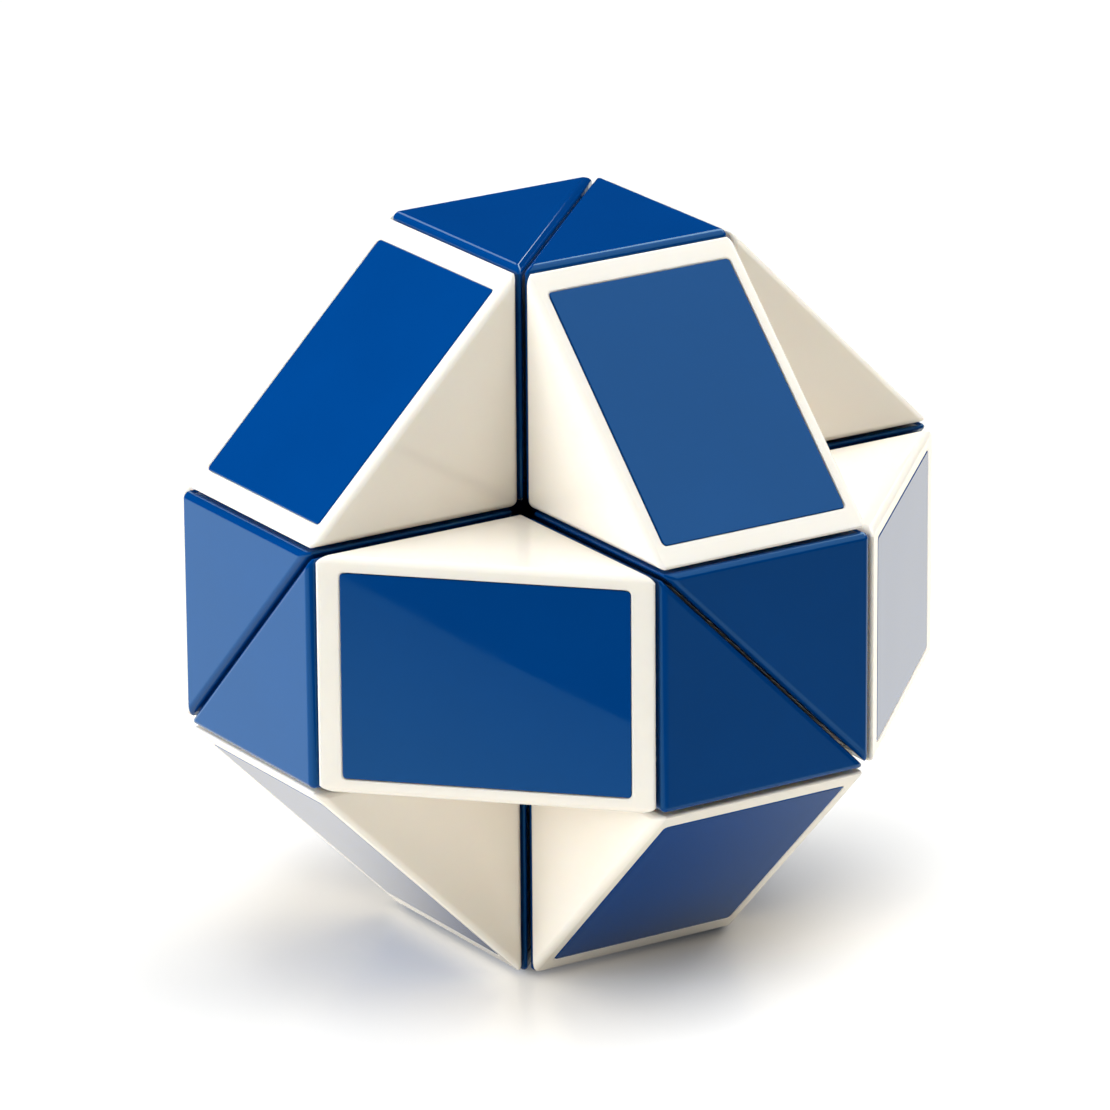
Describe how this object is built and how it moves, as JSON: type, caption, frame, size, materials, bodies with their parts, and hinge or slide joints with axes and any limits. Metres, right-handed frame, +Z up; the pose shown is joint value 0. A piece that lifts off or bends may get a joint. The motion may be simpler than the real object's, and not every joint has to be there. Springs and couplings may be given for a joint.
{
  "type": "twisty snake puzzle",
  "caption": "Snake puzzle of right-angled wedges joined end to end by sprung twist joints, folded into a ball with square, triangular and rectangular faces.",
  "frame": {"origin": "under the middle of the ball, on the surface that it rests on", "axes": "+Z up; the grid of cells that the ball fills lies along X, Y and Z"},
  "size_m": [0.0656, 0.0656, 0.0657],
  "materials": {
    "ivory_plastic": "gloss",
    "blue_plastic": "gloss",
    "plated_steel": "satin"
  },
  "bodies": {
    "wedge_01": {"wedge_01_shell": "ivory_plastic", "wedge_01_cover": "blue_plastic"},
    "wedge_02": {"wedge_02_shell": "blue_plastic", "spring_bolt_01": "plated_steel"},
    "wedge_03": {"wedge_03_shell": "ivory_plastic", "wedge_03_cover": "blue_plastic", "spring_bolt_02": "plated_steel"},
    "wedge_04": {"wedge_04_shell": "blue_plastic", "spring_bolt_03": "plated_steel"},
    "wedge_05": {"wedge_05_shell": "ivory_plastic", "wedge_05_cover": "blue_plastic", "spring_bolt_04": "plated_steel"},
    "wedge_06": {"wedge_06_shell": "blue_plastic", "spring_bolt_05": "plated_steel"},
    "wedge_07": {"wedge_07_shell": "ivory_plastic", "wedge_07_cover": "blue_plastic", "spring_bolt_06": "plated_steel"},
    "wedge_08": {"wedge_08_shell": "blue_plastic", "spring_bolt_07": "plated_steel"},
    "wedge_09": {"wedge_09_shell": "ivory_plastic", "wedge_09_cover": "blue_plastic", "spring_bolt_08": "plated_steel"},
    "wedge_10": {"wedge_10_shell": "blue_plastic", "spring_bolt_09": "plated_steel"},
    "wedge_11": {"wedge_11_shell": "ivory_plastic", "wedge_11_cover": "blue_plastic", "spring_bolt_10": "plated_steel"},
    "wedge_12": {"wedge_12_shell": "blue_plastic", "spring_bolt_11": "plated_steel"},
    "wedge_13": {"wedge_13_shell": "ivory_plastic", "wedge_13_cover": "blue_plastic", "spring_bolt_12": "plated_steel"},
    "wedge_14": {"wedge_14_shell": "blue_plastic", "spring_bolt_13": "plated_steel"},
    "wedge_15": {"wedge_15_shell": "ivory_plastic", "wedge_15_cover": "blue_plastic", "spring_bolt_14": "plated_steel"},
    "wedge_16": {"wedge_16_shell": "blue_plastic", "spring_bolt_15": "plated_steel"},
    "wedge_17": {"wedge_17_shell": "ivory_plastic", "wedge_17_cover": "blue_plastic", "spring_bolt_16": "plated_steel"},
    "wedge_18": {"wedge_18_shell": "blue_plastic", "spring_bolt_17": "plated_steel"},
    "wedge_19": {"wedge_19_shell": "ivory_plastic", "wedge_19_cover": "blue_plastic", "spring_bolt_18": "plated_steel"},
    "wedge_20": {"wedge_20_shell": "blue_plastic", "spring_bolt_19": "plated_steel"},
    "wedge_21": {"wedge_21_shell": "ivory_plastic", "wedge_21_cover": "blue_plastic", "spring_bolt_20": "plated_steel"},
    "wedge_22": {"wedge_22_shell": "blue_plastic", "spring_bolt_21": "plated_steel"},
    "wedge_23": {"wedge_23_shell": "ivory_plastic", "wedge_23_cover": "blue_plastic", "spring_bolt_22": "plated_steel"},
    "wedge_24": {"wedge_24_shell": "blue_plastic", "spring_bolt_23": "plated_steel"}
  },
  "joints": [
    {"name": "twist_01", "type": "hinge", "parent": "wedge_02", "child": "wedge_01", "pos_m": [0, -0.022, 0.04384], "axis": [0, 0, -1], "range_deg": [0, 90]},
    {"name": "twist_02", "type": "hinge", "parent": "wedge_03", "child": "wedge_02", "pos_m": [-0.011, -0.022, 0.03284], "axis": [1, 0, 0], "range_deg": [0, 90]},
    {"name": "twist_03", "type": "hinge", "parent": "wedge_04", "child": "wedge_03", "pos_m": [-0.022, -0.011, 0.03284], "axis": [0, -1, 0], "range_deg": [0, 90]},
    {"name": "twist_04", "type": "hinge", "parent": "wedge_05", "child": "wedge_04", "pos_m": [-0.022, 0, 0.02184], "axis": [0, 0, -1], "range_deg": [0, 90]},
    {"name": "twist_05", "type": "hinge", "parent": "wedge_06", "child": "wedge_05", "pos_m": [-0.011, 0, 0.01084], "axis": [-1, 0, 0], "range_deg": [0, 90]},
    {"name": "twist_06", "type": "hinge", "parent": "wedge_07", "child": "wedge_06", "pos_m": [0, -0.011, 0.01084], "axis": [0, -1, 0], "range_deg": [0, 90]},
    {"name": "twist_07", "type": "hinge", "parent": "wedge_08", "child": "wedge_07", "pos_m": [0, -0.022, 0.02184], "axis": [0, 0, 1], "range_deg": [0, 90]},
    {"name": "twist_08", "type": "hinge", "parent": "wedge_09", "child": "wedge_08", "pos_m": [0.011, -0.022, 0.03284], "axis": [-1, 0, 0], "range_deg": [0, 90]},
    {"name": "twist_09", "type": "hinge", "parent": "wedge_10", "child": "wedge_09", "pos_m": [0.022, -0.011, 0.03284], "axis": [0, 1, 0], "range_deg": [0, 90]},
    {"name": "twist_10", "type": "hinge", "parent": "wedge_11", "child": "wedge_10", "pos_m": [0.022, 0, 0.02184], "axis": [0, 0, 1], "range_deg": [0, 90]},
    {"name": "twist_11", "type": "hinge", "parent": "wedge_12", "child": "wedge_11", "pos_m": [0.011, 0, 0.01084], "axis": [1, 0, 0], "range_deg": [0, 90]},
    {"name": "twist_12", "type": "hinge", "parent": "wedge_12", "child": "wedge_13", "pos_m": [0, 0.011, 0.01084], "axis": [0, -1, 0], "range_deg": [0, 90]},
    {"name": "twist_13", "type": "hinge", "parent": "wedge_13", "child": "wedge_14", "pos_m": [0, 0.022, 0.02184], "axis": [0, 0, 1], "range_deg": [0, 90]},
    {"name": "twist_14", "type": "hinge", "parent": "wedge_14", "child": "wedge_15", "pos_m": [0.011, 0.022, 0.03284], "axis": [-1, 0, 0], "range_deg": [0, 90]},
    {"name": "twist_15", "type": "hinge", "parent": "wedge_15", "child": "wedge_16", "pos_m": [0.022, 0.011, 0.03284], "axis": [0, 1, 0], "range_deg": [0, 90]},
    {"name": "twist_16", "type": "hinge", "parent": "wedge_16", "child": "wedge_17", "pos_m": [0.022, 0, 0.04384], "axis": [0, 0, 1], "range_deg": [0, 90]},
    {"name": "twist_17", "type": "hinge", "parent": "wedge_17", "child": "wedge_18", "pos_m": [0.011, 0, 0.05484], "axis": [1, 0, 0], "range_deg": [0, 90]},
    {"name": "twist_18", "type": "hinge", "parent": "wedge_18", "child": "wedge_19", "pos_m": [0, 0.011, 0.05484], "axis": [0, 1, 0], "range_deg": [0, 90]},
    {"name": "twist_19", "type": "hinge", "parent": "wedge_19", "child": "wedge_20", "pos_m": [0, 0.022, 0.04384], "axis": [0, 0, -1], "range_deg": [0, 90]},
    {"name": "twist_20", "type": "hinge", "parent": "wedge_20", "child": "wedge_21", "pos_m": [-0.011, 0.022, 0.03284], "axis": [1, 0, 0], "range_deg": [0, 90]},
    {"name": "twist_21", "type": "hinge", "parent": "wedge_21", "child": "wedge_22", "pos_m": [-0.022, 0.011, 0.03284], "axis": [0, -1, 0], "range_deg": [0, 90]},
    {"name": "twist_22", "type": "hinge", "parent": "wedge_22", "child": "wedge_23", "pos_m": [-0.022, 0, 0.04384], "axis": [0, 0, -1], "range_deg": [0, 90]},
    {"name": "twist_23", "type": "hinge", "parent": "wedge_23", "child": "wedge_24", "pos_m": [-0.011, 0, 0.05484], "axis": [-1, 0, 0], "range_deg": [0, 90]}
  ],
  "couplings": [
    {"joint": "twist_01", "follows": "twist_13", "ratio": 1},
    {"joint": "twist_02", "follows": "twist_14", "ratio": 1},
    {"joint": "twist_04", "follows": "twist_16", "ratio": 1},
    {"joint": "twist_05", "follows": "twist_14", "ratio": 1},
    {"joint": "twist_06", "follows": "twist_09", "ratio": 1},
    {"joint": "twist_07", "follows": "twist_16", "ratio": 1},
    {"joint": "twist_08", "follows": "twist_11", "ratio": 1},
    {"joint": "twist_10", "follows": "twist_13", "ratio": 1},
    {"joint": "twist_15", "follows": "twist_12", "ratio": 1},
    {"joint": "twist_17", "follows": "twist_14", "ratio": 1},
    {"joint": "twist_18", "follows": "twist_09", "ratio": 1},
    {"joint": "twist_19", "follows": "twist_16", "ratio": 1},
    {"joint": "twist_20", "follows": "twist_11", "ratio": 1},
    {"joint": "twist_21", "follows": "twist_09", "ratio": 1},
    {"joint": "twist_22", "follows": "twist_13", "ratio": 1},
    {"joint": "twist_23", "follows": "twist_11", "ratio": 1}
  ]
}
